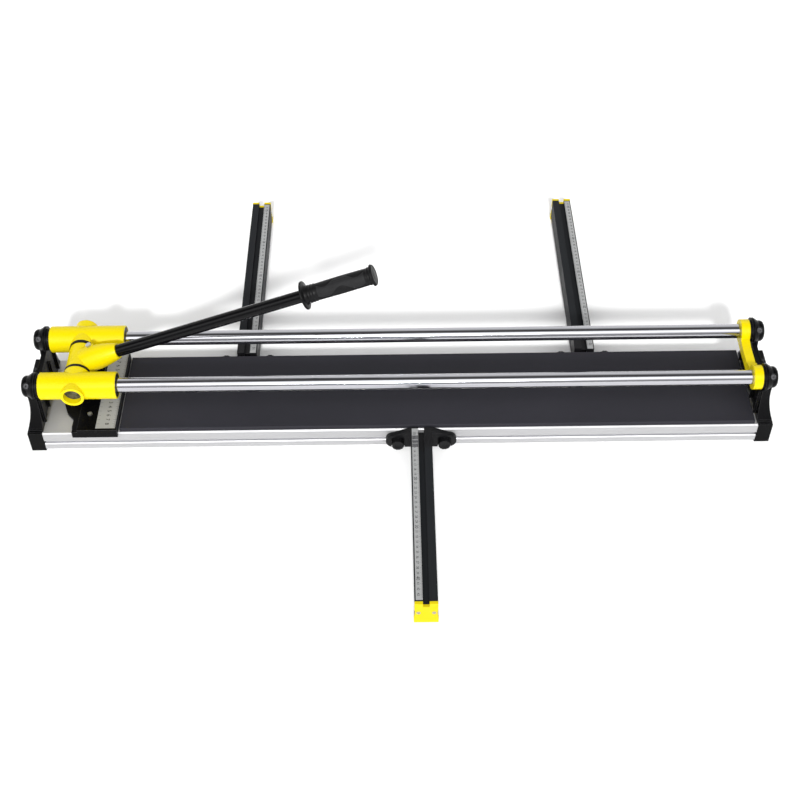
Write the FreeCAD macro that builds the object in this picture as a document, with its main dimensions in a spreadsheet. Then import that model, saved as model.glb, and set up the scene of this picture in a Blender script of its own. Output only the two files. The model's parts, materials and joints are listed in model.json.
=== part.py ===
import FreeCAD, Part
import math
import os
import Sketcher

from FreeCAD import Placement, Rotation, Vector

# Manual tile cutter with twin guide rails, a sliding lever carriage and three side arms.
#
# Frame: origin on the ground under the middle of the base, +X along the rails towards the
# stop plate, -Y towards the front arm, +Z up. All sizes are in millimetres.

os.makedirs("parts", exist_ok=True)
doc = FreeCAD.newDocument("tile_cutter")

# ---------------------------------------------------------------- driving dimensions

SIZES = [
    # base extrusion and its side slots
    ("base_half", 610, "half length of the extruded base"),
    ("base_depth", 90, "centre plane to the side face of the base"),
    ("base_bottom", 4.5, "underside of the extrusion"),
    ("base_top", 42, "top of the extrusion"),
    ("wall", 3, "wall of the extrusion"),
    ("slot_height", 20.2, "centre height of the side slots"),
    ("slot_mouth", 6.4, "height of a slot's mouth"),
    ("slot_channel", 14.4, "height of a slot's channel"),
    ("slot_lip", 2.6, "thickness of a slot's lips"),
    ("slot_floor", 6.5, "side face to the channel's floor"),
    ("slot_bevel", 1.4, "bevel on a slot's lower lip"),
    ("edge_bevel", 2, "bevel along the extrusion's top edges"),
    # working surface
    ("pad_left", 478, "centre to the pads' left end"),
    ("pad_right", 604, "centre to the pads' right end"),
    ("pad_edge", 87, "centre plane to the pads' outer edge"),
    ("pad_top", 49.3, "working height"),
    ("rib_half", 1.5, "half width of the breaking rib"),
    ("rib_top", 49.7, "top of the breaking rib"),
    # end supports and rails
    ("foot_outer", 635, "centre to the outer face of a foot"),
    ("head_inner", 608.5, "centre to the inner face of a rail head"),
    ("web_outer", 617, "centre to the outer face of the web"),
    ("leg_outer", 622.3, "centre to the outer face of the legs"),
    ("head_radius", 18.3, "rail head"),
    ("head_outer", 631, "centre to the outer face of a rail head"),
    ("screw_place", 620.5, "centre to a rail's clamping screw"),
    ("collar_radius", 23.5, "collar on a rail head's inner side"),
    ("rail_offset", 56.5, "centre plane to a rail's axis"),
    ("rail_height", 124, "rail axis above the ground"),
    ("rail_radius", 12.5, "guide rail"),
    ("rail_half", 628, "half length of a rail"),
    ("buffer_thick", 3.5, "rubber buffer ring"),
    ("stop_thick", 15, "stop plate"),
    ("stop_radius", 20.5, "rings of the stop plate"),
    # carriage
    ("sleeve_left", 602.5, "centre to the sleeves' left end"),
    ("sleeve_right", 473, "centre to the sleeves' right end"),
    ("sleeve_radius", 23, "sleeve, outside"),
    ("sleeve_bore", 15, "sleeve, inside"),
    ("bush_length", 28, "plain bush"),
    ("running", 0.05, "radial running clearance"),
    ("pivot_left", 544.5, "centre to the lever's pivot axis"),
    ("outer_boss", 19.5, "outer boss of a sleeve"),
    ("outer_reach", 84, "centre plane to the outer boss's face"),
    ("recess_radius", 15, "recess in the outer boss"),
    ("plug_face", 73.5, "centre plane to the plug's face"),
    ("inner_boss", 22, "inner boss of a sleeve"),
    ("inner_reach", 32, "centre plane to the inner boss's face"),
    ("axle_radius", 6, "lever axle"),
    ("axle_half", 40.6, "half length of the lever axle"),
    ("seal_radius", 20.5, "rail seal, outside"),
    ("seal_thick", 3, "rail seal"),
    ("washer_thick", 5.6, "pivot washer"),
    ("washer_radius", 22, "pivot washer, outside"),
    # lever
    ("lever_angle", 20.3, "handle above the horizontal at rest, in degrees"),
    ("hub_radius", 21, "lever hub"),
    ("hub_half", 26, "half width of the hub"),
    ("socket_end", 73.5, "pivot axis to the socket's mouth"),
    ("tube_radius", 10.5, "handle tube, outside"),
    ("tube_bore", 8.5, "handle tube, inside"),
    ("tube_start", 30, "pivot axis to the tube's lower end"),
    ("grip_start", 415.5, "pivot axis to the grip's flange"),
    ("grip_end", 539.5, "pivot axis to the grip's end"),
    ("grip_radius", 14.2, "grip"),
    ("flange_radius", 23, "grip's hand flange"),
    ("rim_radius", 17.5, "grip's end flange"),
    ("wheel_radius", 11, "scoring wheel"),
    ("wheel_pin", 2.5, "wheel axle"),
    ("wheel_back", 17, "pivot axis back to the wheel's axle"),
    ("wheel_drop", 54.7, "pivot axis down to the wheel's axle"),
    ("foot_pin", 3, "breaker pin"),
    ("foot_ahead", 18, "pivot axis forward to the breaker pin"),
    ("foot_drop", 40, "pivot axis down to the breaker pin"),
    ("foot_bottom", 61.5, "pivot axis down to the breaker's sole"),
    ("foot_half", 29, "half width of the breaker"),
    ("cheek_inner", 4.6, "centre plane to a cheek's inner face"),
    ("cheek_thick", 4, "cheek of the wheel holder"),
    # side arms
    ("arm_half", 17.8, "half width of an arm"),
    ("arm_bottom", 9, "underside of an arm"),
    ("arm_start", 137, "centre plane to an arm's inner end"),
    ("front_reach", 448.5, "centre plane to the front arm's end"),
    ("back_reach", 527, "centre plane to a back arm's end"),
    ("cap_depth", 5, "end cap"),
    ("cap_bottom", 1, "underside of an end cap"),
    ("ruler_width", 10.6, "ruler strip"),
    ("ruler_thick", 0.8, "ruler strip"),
    ("front_arm", 35, "front arm's place along the base"),
    ("left_arm", -274, "left back arm's place along the base"),
    ("right_arm", 333, "right back arm's place along the base"),
    ("bracket_half", 61, "half width of a bracket"),
    ("bracket_back", 90.4, "centre plane to a bracket's back face"),
    ("bracket_front", 100, "centre plane to a bracket's front face"),
    ("bracket_bottom", 8.5, "underside of a bracket"),
    ("bracket_top", 36, "top of the front bracket's wings"),
    ("bracket_rise", 11.5, "rise of the front bracket's wings towards the arm"),
    ("low_bracket_top", 34.4, "top of a back bracket's wings"),
    ("knob_offset", 39.6, "arm's middle to a clamping knob"),
    ("knob_radius", 10.4, "clamping knob"),
    ("knob_front", 108, "centre plane to a knob's face"),
    ("stud_radius", 3, "knob's stud"),
    # fence
    ("fence_left", 558, "centre to the fence's left edge"),
    ("fence_step", 548.5, "centre to the fence block's left face"),
    ("fence_ruler_left", 517.3, "centre to the fence ruler's left edge"),
    ("fence_ruler_right", 484, "centre to the fence ruler's right edge"),
    ("fence_face", 481, "centre to the fence's stop face"),
    ("fence_top", 54.5, "top of the fence"),
    ("fence_front", 95, "centre plane to the fence's hooked lip"),
]

sheet = doc.addObject("Spreadsheet::Sheet", "Sizes")
for row, (alias, number, meaning) in enumerate(SIZES, 1):
    sheet.set("A%d" % row, meaning)
    sheet.set("B%d" % row, str(number))
    sheet.setAlias("B%d" % row, alias)
doc.recompute()


class Size:
    """A number that remembers the sheet expression it comes from."""

    def __init__(self, value, text):
        self.value = float(value)
        self.text = text

    def join(self, sign, other, value):
        return Size(value, "(%s %s %s)" % (self.text, sign, other.text))

    def __add__(self, other):
        other = as_size(other)
        return self.join("+", other, self.value + other.value)

    def __sub__(self, other):
        other = as_size(other)
        return self.join("-", other, self.value - other.value)

    def __mul__(self, other):
        other = as_size(other)
        return self.join("*", other, self.value * other.value)

    def __truediv__(self, other):
        other = as_size(other)
        return self.join("/", other, self.value / other.value)

    def __radd__(self, other):
        return as_size(other) + self

    def __rsub__(self, other):
        return as_size(other) - self

    def __rmul__(self, other):
        return as_size(other) * self

    def __neg__(self):
        return 0 - self


def as_size(number):
    """Wrap a plain number so that it can stand in an expression."""
    if isinstance(number, Size):
        return number
    text = "%g" % number
    if number < 0:
        text = "(0 - %g)" % -number
    return Size(number, text)


class Sizes:
    """Every cell of the sheet, read by its alias."""

    def __getattr__(self, alias):
        return Size(sheet.get(alias), "Sizes.%s" % alias)


S = Sizes()

# ---------------------------------------------------------------- modelling helpers

TURN_TO_AXIS = {
    "X": Rotation(Vector(0, 1, 0), 90),
    "Y": Rotation(Vector(1, 0, 0), -90),
    "Z": Rotation(),
}
NODES = []


def bind(obj, prop, size):
    """Tie one property to its sheet expression."""
    obj.setExpression(prop, as_size(size).text)


def place(obj, x, y, z, rotation=None):
    """Put an object at a bound position."""
    where = [as_size(v) for v in (x, y, z)]
    obj.Placement = Placement(Vector(*[v.value for v in where]), rotation or Rotation())
    for letter, size in zip("xyz", where):
        bind(obj, "Placement.Base.%s" % letter, size)
    return obj


def node(label, obj):
    """Name a finished sub-part and keep it for export."""
    obj.Label = label
    NODES.append(obj)
    return obj


def box(x, y, z):
    """Block between two bounds along each axis."""
    block = doc.addObject("Part::Box", "Block")
    for prop, (low, high) in zip(("Length", "Width", "Height"), (x, y, z)):
        bind(block, prop, as_size(high) - low)
    return place(block, x[0], y[0], z[0])


def rod(axis, radius, x, y, z, length):
    """Cylinder that starts at a point and runs along an axis."""
    cylinder = doc.addObject("Part::Cylinder", "Rod")
    bind(cylinder, "Radius", radius)
    bind(cylinder, "Height", length)
    return place(cylinder, x, y, z, TURN_TO_AXIS[axis])


def fuse(*shapes):
    """One solid out of several that touch or overlap."""
    joined = doc.addObject("Part::MultiFuse", "Fusion")
    joined.Shapes = list(shapes)
    joined.Refine = True
    return joined


def group(*shapes):
    """Separate solids of one kind kept together."""
    gathered = doc.addObject("Part::Compound", "Group")
    gathered.Links = list(shapes)
    return gathered


def cut(base, *tools):
    """Base with every tool taken away."""
    tool = tools[0] if len(tools) == 1 else group(*tools)
    result = doc.addObject("Part::Cut", "Cut")
    result.Base = base
    result.Tool = tool
    return result


def mirrored(source, normal):
    """Mirror image through the origin plane with the given normal."""
    image = doc.addObject("Part::Mirroring", "Mirror")
    image.Source = source
    image.Normal = normal
    return image


def plane_of(body, role):
    """One of a body's own origin planes."""
    return [f for f in body.Origin.OriginFeatures if f.Role == role][0]


def bulge_point(start, end, radius):
    """Middle of the arc from start to end; a positive radius bows to the right."""
    half = (end - start) * 0.5
    side = Vector(half.y, -half.x, 0).normalize()
    rise = abs(radius) - math.sqrt(radius * radius - half.Length ** 2)
    return start + half + side * math.copysign(rise, radius)


def draw_loop(sketch, points, arcs):
    """Add one closed loop through bound points; arcs maps a side's number to its radius."""
    corners = [(as_size(u), as_size(v)) for u, v in points]
    spots = [Vector(u.value, v.value, 0) for u, v in corners]
    ends = []
    for side, start in enumerate(spots):
        end = spots[(side + 1) % len(spots)]
        if side in arcs:
            middle = bulge_point(start, end, as_size(arcs[side]).value)
            edge = sketch.addGeometry(Part.Arc(start, middle, end), False)
            flipped = sketch.getPoint(edge, 1).distanceToPoint(start) > 1e-6
            ends.append((edge, 2, 1) if flipped else (edge, 1, 2))
        else:
            edge = sketch.addGeometry(Part.LineSegment(start, end), False)
            ends.append((edge, 1, 2))
    for side, (edge, first, last) in enumerate(ends):
        follower, meets, _ = ends[(side + 1) % len(ends)]
        sketch.addConstraint(Sketcher.Constraint("Coincident", edge, last, follower, meets))
        for letter, size in zip("XY", corners[side]):
            rule = Sketcher.Constraint("Distance" + letter, -1, 1, edge, first, size.value)
            number = sketch.addConstraint(rule)
            bind(sketch, "Constraints[%d]" % number, size)
    for side, radius in arcs.items():
        rule = Sketcher.Constraint("Radius", ends[side][0], abs(as_size(radius).value))
        sketch.addConstraint(rule)


def outline(body, role, points, arcs=None, holes=()):
    """Sketch of one closed loop, and of the holes inside it, on an origin plane."""
    sketch = body.newObject("Sketcher::SketchObject", "Sketch")
    sketch.AttachmentSupport = [(plane_of(body, role), "")]
    sketch.MapMode = "FlatFace"
    draw_loop(sketch, points, arcs or {})
    for hole in holes:
        draw_loop(sketch, hole, {})
    return sketch


def extruded(role, points, length, at=(0, 0, 0), arcs=None, holes=()):
    """Body padded from one outline: along +X from YZ, along -Y from XZ, along +Z from XY."""
    body = doc.addObject("PartDesign::Body", "Body")
    sketch = outline(body, role, points, arcs, holes)
    pad = body.newObject("PartDesign::Pad", "Pad")
    pad.Profile = sketch
    bind(pad, "Length", length)
    return place(body, *at)


def turned(points, at=(0, 0, 0), rotation=None, arcs=None):
    """Body of revolution about X, from (along, radius) points."""
    body = doc.addObject("PartDesign::Body", "Body")
    sketch = outline(body, "XY_Plane", points, arcs)
    revolution = body.newObject("PartDesign::Revolution", "Revolution")
    revolution.Profile = sketch
    revolution.ReferenceAxis = (sketch, ["H_Axis"])
    revolution.Angle = 360
    return place(body, *at, rotation)


def rectangle(u, v):
    """Corner points of a rectangle between two bounds."""
    return [(u[0], v[0]), (u[1], v[0]), (u[1], v[1]), (u[0], v[1])]


# ---------------------------------------------------------------- base


def base_profile():
    """Hollow extrusion with a clamping slot along each side and a groove for the rib."""
    mouth = (S.slot_height - S.slot_mouth / 2, S.slot_height + S.slot_mouth / 2)
    channel = (S.slot_height - S.slot_channel / 2, S.slot_height + S.slot_channel / 2)
    lip = S.base_depth - S.slot_lip
    floor = S.base_depth - S.slot_floor
    side = [
        (S.base_depth, S.base_bottom),
        (S.base_depth, mouth[0] - S.slot_bevel),
        (S.base_depth - S.slot_bevel, mouth[0]),
        (lip, mouth[0]),
        (lip, channel[0]),
        (floor, channel[0]),
        (floor, channel[1]),
        (lip, channel[1]),
        (lip, mouth[1]),
        (S.base_depth, mouth[1]),
        (S.base_depth, S.base_top - S.edge_bevel),
        (S.base_depth - S.edge_bevel, S.base_top),
        (S.rib_half, S.base_top),
        (S.rib_half, S.base_top - S.wall),
    ]
    other_side = [(-y, z) for y, z in reversed(side)]
    chamber = (S.base_bottom + S.wall, S.base_top - S.wall)
    holes = [
        rectangle((-24, 24), (chamber[0], chamber[1] - S.wall)),
        rectangle((27, floor - S.wall), chamber),
        rectangle((S.wall - floor, -27), chamber),
    ]
    profile = extruded("YZ_Plane", side + other_side, 2 * S.base_half, (-S.base_half, 0, 0), holes=holes)
    return node("base_profile", profile)


def work_surface():
    """Rubber pads either side of the steel breaking rib."""
    span = S.pad_left + S.pad_right
    inner = S.rib_half + 0.3
    bevel = 1.2
    section = [
        (-S.pad_edge, S.base_top),
        (-inner, S.base_top),
        (-inner, S.pad_top),
        (bevel - S.pad_edge, S.pad_top),
        (-S.pad_edge, S.pad_top - bevel),
    ]
    front = extruded("YZ_Plane", section, span, (-S.pad_left, 0, 0))
    node("pad_front", front)
    back_section = [(-y, z) for y, z in reversed(section)]
    node("pad_back", extruded("YZ_Plane", back_section, span, (-S.pad_left, 0, 0)))
    across = (-S.rib_half, S.rib_half)
    node("breaking_rib", box((-S.pad_left, S.pad_right), across, (S.base_top - S.wall, S.rib_top)))


def underside_strips():
    """Anti-slip rubber strips across the underside."""
    strips = []
    for middle in (-400, 0, 400):
        strips.append(box((middle - 20, middle + 20), (-80, 80), (0, S.base_bottom)))
    node("underside_strips", group(*strips))


# ---------------------------------------------------------------- end supports and rails

HEAD_SCREW = 4.5
HEAD_EDGE = 7.0


def head_screw_rod(x, y, radius, start, length):
    """Cylinder that points forwards and up at 45 degrees from a rail's axis."""
    lean = math.sqrt(0.5)
    tilt = Rotation(Vector(1, 0, 0), 45)
    cylinder = doc.addObject("Part::Cylinder", "Rod")
    bind(cylinder, "Radius", radius)
    bind(cylinder, "Height", length)
    return place(cylinder, x, y - start * lean, S.rail_height + start * lean, tilt)


def leg_solid():
    """Front leg: leaning in the side view, and waisted with a flared foot in the front view."""
    step_top = S.base_top + 5
    side_view = [
        (-86, S.base_top),
        (-44, S.base_top),
        (-38, 108),
        (-45, S.rail_height),
        (-74, S.rail_height),
        (-83, step_top),
    ]
    span = S.foot_outer - S.head_inner
    side = extruded("YZ_Plane", side_view, span, (S.head_inner, 0, 0), arcs={1: -160, 4: -160})
    front_view = [
        (S.head_inner, S.base_top),
        (S.foot_outer, S.base_top),
        (S.foot_outer, S.base_top + 1),
        (S.leg_outer, 112),
        (S.leg_outer, S.rail_height),
        (S.head_inner, S.rail_height),
    ]
    front = extruded("XZ_Plane", front_view, S.base_depth, arcs={2: -178})
    leg = doc.addObject("Part::Common", "Leg")
    leg.Base = side
    leg.Tool = front
    return leg


def rail_head(y):
    """Socket of a rail: collar, cone and a barrel with a rounded edge."""
    profile = [
        (S.head_inner, 0),
        (S.head_outer, 0),
        (S.head_outer, S.head_radius - HEAD_EDGE),
        (S.head_outer - HEAD_EDGE, S.head_radius),
        (S.head_inner + 12.5, S.head_radius),
        (S.head_inner + 4.5, S.collar_radius),
        (S.head_inner, S.collar_radius),
    ]
    return turned(profile, (0, y, S.rail_height), arcs={2: HEAD_EDGE})


def end_support():
    """Right-hand casting: foot block, two legs, thin web, rail heads and a middle lug."""
    step_top = S.base_top + 5
    leg = leg_solid()
    web_outline = [(-60, step_top - 1), (60, step_top - 1), (42, 120), (-42, 120)]
    web_width = S.web_outer - S.head_inner
    pieces = [
        box((S.base_half, S.foot_outer), (-S.base_depth, S.base_depth), (0, S.base_top)),
        box((S.base_half, S.foot_outer - 3), (-86, 86), (S.base_top - 1, step_top)),
        leg,
        mirrored(leg, (0, 1, 0)),
        extruded("YZ_Plane", web_outline, web_width, (S.head_inner, 0, 0), arcs={2: -220}),
        box((S.web_outer - 1, S.web_outer + 6), (-17, 13), (96, 119)),
    ]
    cuts = [rod("Z", 3, S.web_outer + 2.5, -12, 108, 12)]
    for y in (-S.rail_offset, S.rail_offset):
        pieces.append(rail_head(y))
        pieces.append(head_screw_rod(S.screw_place, y, HEAD_SCREW + 1.8, 14, 5.6))
        depth = S.rail_half - S.head_inner + 1
        cuts.append(rod("X", S.rail_radius, S.head_inner - 1, y, S.rail_height, depth))
        cuts.append(head_screw_rod(S.screw_place, y, HEAD_SCREW, 11, 20))
    for y in (-66, -30, 27, 63):
        rib = (S.head_inner - 3.5, S.head_inner + 1)
        pieces.append(box(rib, (y, y + 3), (step_top - 1, 98)))
    return cut(fuse(*pieces), *cuts)


def end_supports():
    """Both castings, with the screws that clamp the rails and the lug screws."""
    right = node("end_support_right", end_support())
    node("end_support_left", mirrored(right, (1, 0, 0)))
    clamp_screws = []
    lug_screws = []
    for side in (-1, 1):
        for y in (-S.rail_offset, S.rail_offset):
            x = side * S.screw_place
            screw = head_screw_rod(x, y, HEAD_SCREW, S.rail_radius + 0.6, 6)
            socket = head_screw_rod(x, y, 2, S.rail_radius + 3.6, 6)
            clamp_screws.append(cut(screw, socket))
        lug_screws.append(rod("Z", 3, side * (S.web_outer + 2.5), -12, 108, 12.2))
    node("rail_clamp_screws", group(*clamp_screws))
    node("lug_screws", group(*lug_screws))


def rails():
    """Chromed tubes, their rubber buffer rings and the stop plate."""
    rings = []
    for label, y in (("rail_front", -S.rail_offset), ("rail_back", S.rail_offset)):
        outer = rod("X", S.rail_radius, -S.rail_half, y, S.rail_height, 2 * S.rail_half)
        bore = rod("X", S.rail_radius - 2.5, -S.rail_half - 1, y, S.rail_height, 2 * S.rail_half + 2)
        node(label, cut(outer, bore))
        for start in (-S.head_inner, S.head_inner - S.buffer_thick):
            ring = rod("X", S.rail_radius + 6.5, start, y, S.rail_height, S.buffer_thick)
            hole = rod("X", S.rail_radius, start - 1, y, S.rail_height, S.buffer_thick + 2)
            rings.append(cut(ring, hole))
    node("buffer_rings", group(*rings))


def stop_plate():
    """Yellow plate around both rails that ends the carriage's travel."""
    left = S.head_inner - S.buffer_thick - S.stop_thick
    waist = [
        (-46, 104),
        (46, 104),
        (46, S.rail_height),
        (40, S.rail_height),
        (14, S.rail_height - 5),
        (-20, S.rail_height - 5),
        (-23, S.rail_height),
        (-46, S.rail_height),
    ]
    pieces = [extruded("YZ_Plane", waist, S.stop_thick, (left, 0, 0), arcs={3: -72})]
    holes = []
    for y in (-S.rail_offset, S.rail_offset):
        pieces.append(rod("X", S.stop_radius, left, y, S.rail_height, S.stop_thick))
        holes.append(rod("X", S.rail_radius, left - 1, y, S.rail_height, S.stop_thick + 2))
    node("stop_plate", cut(fuse(*pieces), *holes))


# ---------------------------------------------------------------- fence


def fence():
    """Casting with a hooked lip, the ruler strip on it, its stop bar and two screws."""
    under_ruler = S.fence_top - 1.5
    shelf = S.base_top + 5
    span = (-91, 89.6)
    wing = [
        (-S.fence_left, span[0]),
        (1 - S.fence_step, span[0]),
        (1 - S.fence_step, span[1]),
        (-S.fence_left, span[1]),
        (-S.fence_left - 2, 79),
        (-S.fence_left - 2, 61),
        (-S.fence_left - 15, 46),
        (-S.fence_left - 22, 27),
        (-S.fence_left - 22, -27),
        (-S.fence_left - 15, -46),
        (-S.fence_left - 2, -61),
        (-S.fence_left - 2, -79),
    ]
    pieces = [
        extruded("XY_Plane", wing, 5, (0, 0, S.base_top)),
        box((-S.fence_step, -S.fence_ruler_left), span, (S.base_top, S.fence_top)),
        box((-S.fence_ruler_left - 1, -S.fence_ruler_right), span, (S.base_top, under_ruler)),
        box((-S.fence_left, -S.fence_face), (-S.fence_front, -90.4), (37, shelf)),
        box((-S.fence_step, -S.fence_face), (-S.fence_front, -90.4), (shelf - 1, S.fence_top)),
        box((-S.fence_left, 1 - S.fence_step), (-S.fence_front, -90.4), (shelf - 1, shelf + 3)),
    ]
    screws = []
    holes = []
    for y in (-57, 57):
        x = -S.fence_ruler_left - 13.7
        holes.append(rod("Z", 2.5, x, y, S.base_top - 1, 20))
        head = rod("Z", 4, x, y, S.fence_top, 2.2)
        shank = rod("Z", 2.5, x, y, S.base_top, S.fence_top - S.base_top + 1)
        slot = box((x - 2.6, x + 2.6), (y - 0.5, y + 0.5), (S.fence_top + 1.4, S.fence_top + 3))
        screws.append(cut(fuse(head, shank), slot))
    node("fence_casting", cut(fuse(*pieces), *holes))
    node("fence_screws", group(*screws))
    strip = (-S.fence_ruler_left, -S.fence_ruler_right)
    node("fence_ruler", box(strip, (-90.4, span[1]), (under_ruler, S.fence_top)))
    bar = (-S.fence_ruler_right, -S.fence_face)
    node("fence_bar", box(bar, (-90.4, span[1]), (S.base_top, S.fence_top + 0.4)))


# ---------------------------------------------------------------- carriage

SLEEVE_EDGE = 1.5


def sleeve(side):
    """Yellow sleeve on one rail, with an inner boss for the axle and an outer recess."""
    length = S.sleeve_left - S.sleeve_right
    profile = [
        (0, S.sleeve_bore),
        (length, S.sleeve_bore),
        (length, S.sleeve_radius - 1),
        (length - 1, S.sleeve_radius),
        (SLEEVE_EDGE, S.sleeve_radius),
        (0, S.sleeve_radius - SLEEVE_EDGE),
    ]
    y = side * S.rail_offset
    tube = turned(profile, (-S.sleeve_left, y, S.rail_height), arcs={4: -SLEEVE_EDGE})
    outer_y = min_y(side, S.rail_offset, S.outer_reach)
    outer_length = S.outer_reach - S.rail_offset
    outer = rod("Y", S.outer_boss, -S.pivot_left, outer_y, S.rail_height, outer_length)
    inner_y = min_y(side, S.inner_reach, S.rail_offset)
    inner_length = S.rail_offset - S.inner_reach
    inner = rod("Y", S.inner_boss, -S.pivot_left, inner_y, S.rail_height, inner_length)
    bore = rod("X", S.sleeve_bore, -S.sleeve_left - 1, y, S.rail_height, length + 2)
    recess_y = min_y(side, S.rail_offset, S.outer_reach + 1)
    recess = rod("Y", S.recess_radius, -S.pivot_left, recess_y, S.rail_height, outer_length + 1)
    hole = rod("Y", S.axle_radius, -S.pivot_left, -S.axle_half, S.rail_height, 2 * S.axle_half)
    cuts = [bore, recess, hole]
    for start in (-S.sleeve_left - 1, -S.sleeve_right - S.seal_thick):
        cuts.append(rod("X", S.seal_radius, start, y, S.rail_height, S.seal_thick + 1))
    return cut(fuse(tube, outer, inner), *cuts)


def min_y(side, near, far):
    """Lower Y of a span that lies between two distances on one side of the centre plane."""
    return near if side > 0 else -far


def carriage():
    """Both sleeves with bushes, seals, plugs, and the axle between them."""
    node("sleeve_front", sleeve(-1))
    node("sleeve_back", sleeve(1))
    bushes = []
    seals = []
    plugs = []
    washers = []
    slide = S.rail_radius + S.running
    seal = S.seal_thick
    for side in (-1, 1):
        y = side * S.rail_offset
        for start, seal_start in (
            (seal - S.sleeve_left, 0.5 - S.sleeve_left),
            (-S.sleeve_right - seal - S.bush_length, -S.sleeve_right - seal),
        ):
            bush = rod("X", S.sleeve_bore, start, y, S.rail_height, S.bush_length)
            bush_bore = rod("X", slide, start - 1, y, S.rail_height, S.bush_length + 2)
            bushes.append(cut(bush, bush_bore))
            ring = rod("X", S.seal_radius, seal_start, y, S.rail_height, seal - 0.5)
            ring_bore = rod("X", slide + 0.2, seal_start - 1, y, S.rail_height, seal + 2)
            seals.append(cut(ring, ring_bore))
        inside = S.rail_offset + S.rail_radius + 0.7
        plug_y = min_y(side, inside, S.plug_face)
        plugs.append(rod("Y", S.recess_radius, -S.pivot_left, plug_y, S.rail_height, S.plug_face - inside))
        washer_y = min_y(side, S.inner_reach - S.washer_thick, S.inner_reach)
        washer = rod("Y", S.washer_radius, -S.pivot_left, washer_y, S.rail_height, S.washer_thick)
        eye = rod("Y", S.axle_radius, -S.pivot_left, -S.axle_half, S.rail_height, 2 * S.axle_half)
        washers.append(cut(washer, eye))
    node("bushes", group(*bushes))
    node("rail_seals", group(*seals))
    node("boss_plugs", group(*plugs))
    node("pivot_washers", group(*washers))
    axle = rod("Y", S.axle_radius, -S.pivot_left, -S.axle_half, S.rail_height, 2 * S.axle_half)
    node("pivot_axle", axle)


# ---------------------------------------------------------------- lever


def lift(obj):
    """Move a piece drawn along +X from the pivot to the handle's resting angle."""
    obj.Placement = Placement(Vector(), Rotation(Vector(0, -1, 0), S.lever_angle.value))
    bind(obj, "Placement.Base.x", -S.pivot_left)
    bind(obj, "Placement.Base.z", S.rail_height)
    bind(obj, "Placement.Rotation.Angle", S.lever_angle)
    return obj


def section_curve(kind, x, **radii):
    """Circle or ellipse square to X, its long radius across the lever."""
    curve = doc.addObject("Part::" + kind, kind)
    for prop, radius in radii.items():
        bind(curve, prop, radius)
    return place(curve, x, 0, 0, Rotation(Vector(1, 1, 1), 120))


BOLT_X = 28
BOLT_Y = 9
BOLT_SEAT = 20.6


def lever_hub():
    """Drum on the axle with a tapered socket for the handle tube."""
    drum = rod("Y", S.hub_radius, 0, -S.hub_half, 0, 2 * S.hub_half)
    sections = [
        section_curve("Ellipse", 6, MajorRadius=S.hub_half, MinorRadius=20),
        section_curve("Ellipse", 37, MajorRadius=22, MinorRadius=20.5),
        section_curve("Circle", S.socket_end, Radius=S.tube_radius + 2.7),
    ]
    taper = doc.addObject("Part::Loft", "Taper")
    taper.Sections = sections
    taper.Solid = True
    seat = rod("Z", 7, BOLT_X, BOLT_Y, 0, BOLT_SEAT)
    tube_hole = rod("X", S.tube_radius, S.tube_start, 0, 0, S.socket_end)
    axle_hole = rod("Y", S.axle_radius + S.running, 0, -S.hub_half - 1, 0, 2 * S.hub_half + 2)
    hub = cut(fuse(drum, taper, seat), tube_hole, axle_hole)
    node("lever_hub", lift(hub))
    bolt = doc.addObject("Part::Prism", "Hexagon")
    bolt.Polygon = 6
    bolt.Circumradius = 5.2
    bolt.Height = 4
    place(bolt, BOLT_X, BOLT_Y, BOLT_SEAT)
    node("handle_bolt", lift(group(bolt)))


def handle():
    """Black tube with a flanged rubber grip."""
    end = S.grip_end - 3
    outer = rod("X", S.tube_radius, S.tube_start, 0, 0, end - S.tube_start)
    inner = rod("X", S.tube_bore, S.tube_start - 1, 0, 0, end - S.tube_start + 2)
    node("handle_tube", lift(cut(outer, inner)))
    profile = [
        (S.grip_start, S.tube_radius),
        (end, S.tube_radius),
        (end, 0),
        (S.grip_end, 0),
        (S.grip_end, S.rim_radius - 1.5),
        (S.grip_end - 1.5, S.rim_radius),
        (S.grip_end - 4, S.rim_radius),
        (S.grip_end - 6, S.grip_radius - 0.4),
        (S.grip_start + 14, S.grip_radius),
        (S.grip_start + 5, S.grip_radius + 2.4),
        (S.grip_start + 4, S.flange_radius),
        (S.grip_start, S.flange_radius),
    ]
    node("handle_grip", lift(turned(profile, arcs={7: 900, 8: -12, 10: 2.1})))


def at_pivot(obj):
    """Move a piece drawn around the pivot axis to its place."""
    return place(obj, -S.pivot_left, 0, S.rail_height)


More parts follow.
